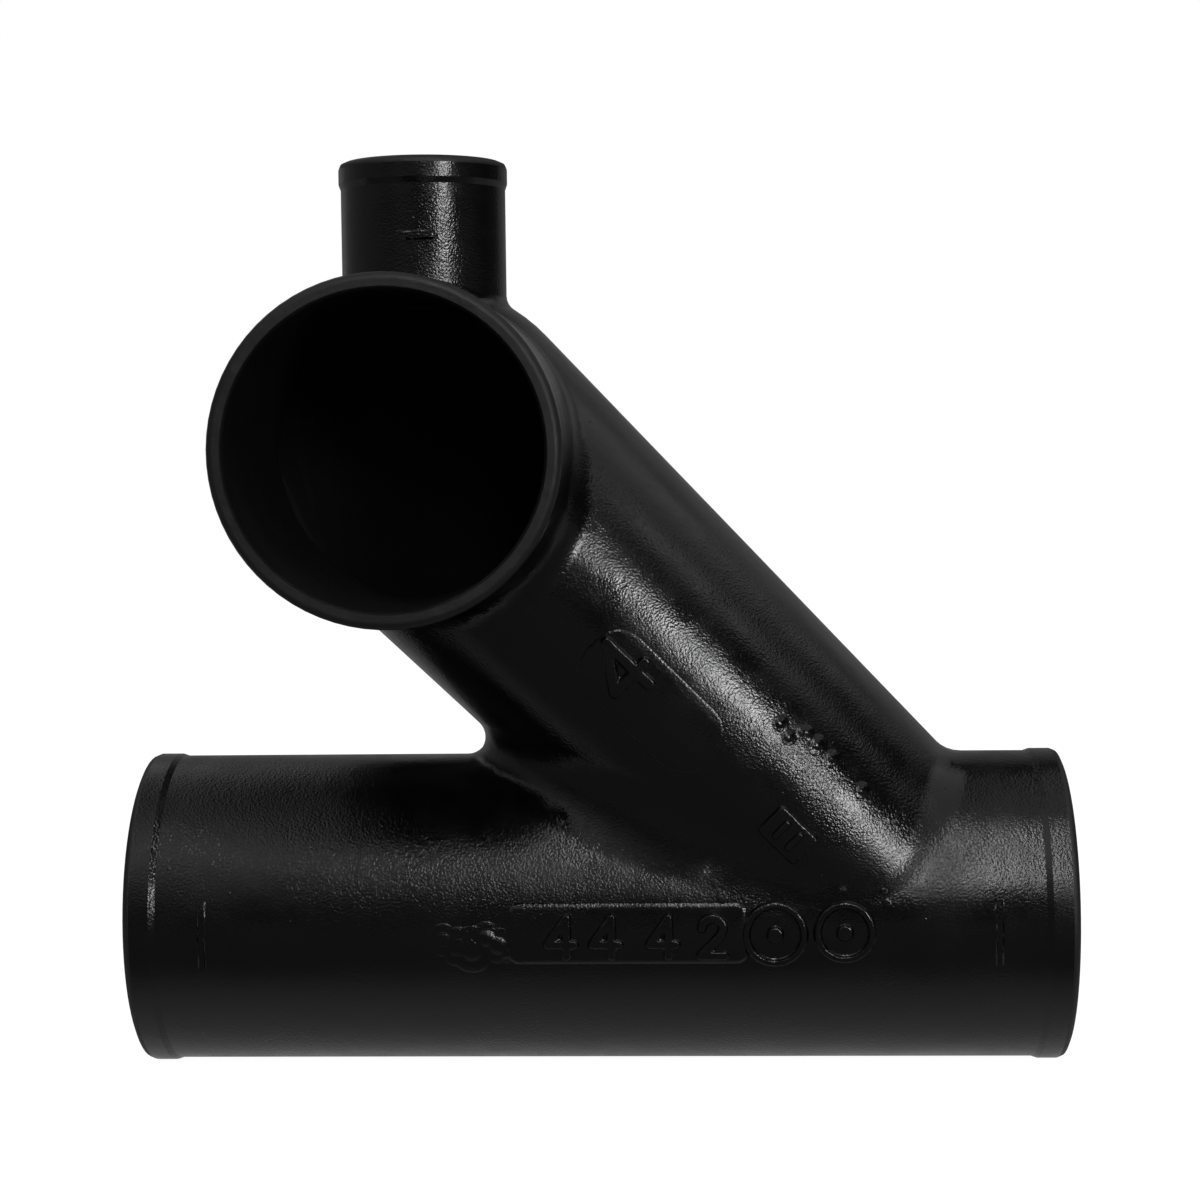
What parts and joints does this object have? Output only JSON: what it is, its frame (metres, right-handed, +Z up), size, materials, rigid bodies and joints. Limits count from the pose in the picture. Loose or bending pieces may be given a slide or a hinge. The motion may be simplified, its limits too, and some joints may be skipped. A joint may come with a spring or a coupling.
{
  "type": "double fixture fitting",
  "caption": "Black cast iron drain fitting: a straight run and a slanted branch that ends in a round chamber with opposed inlets and a smaller vent on top, all plain beaded ends.",
  "frame": {"origin": "on the run's axis, 5 mm inside the outlet's face, in the bead's cylinder", "axes": "+X along the run, out of the outlet; +Z up along the vent; Y across, through both inlets"},
  "size_m": [0.3335, 0.254, 0.3284],
  "materials": {
    "coated_iron": "sand-cast iron under a black, half glossy bituminous coat"
  },
  "bodies": {
    "root": {"fitting_body": "coated_iron"}
  },
  "joints": []
}
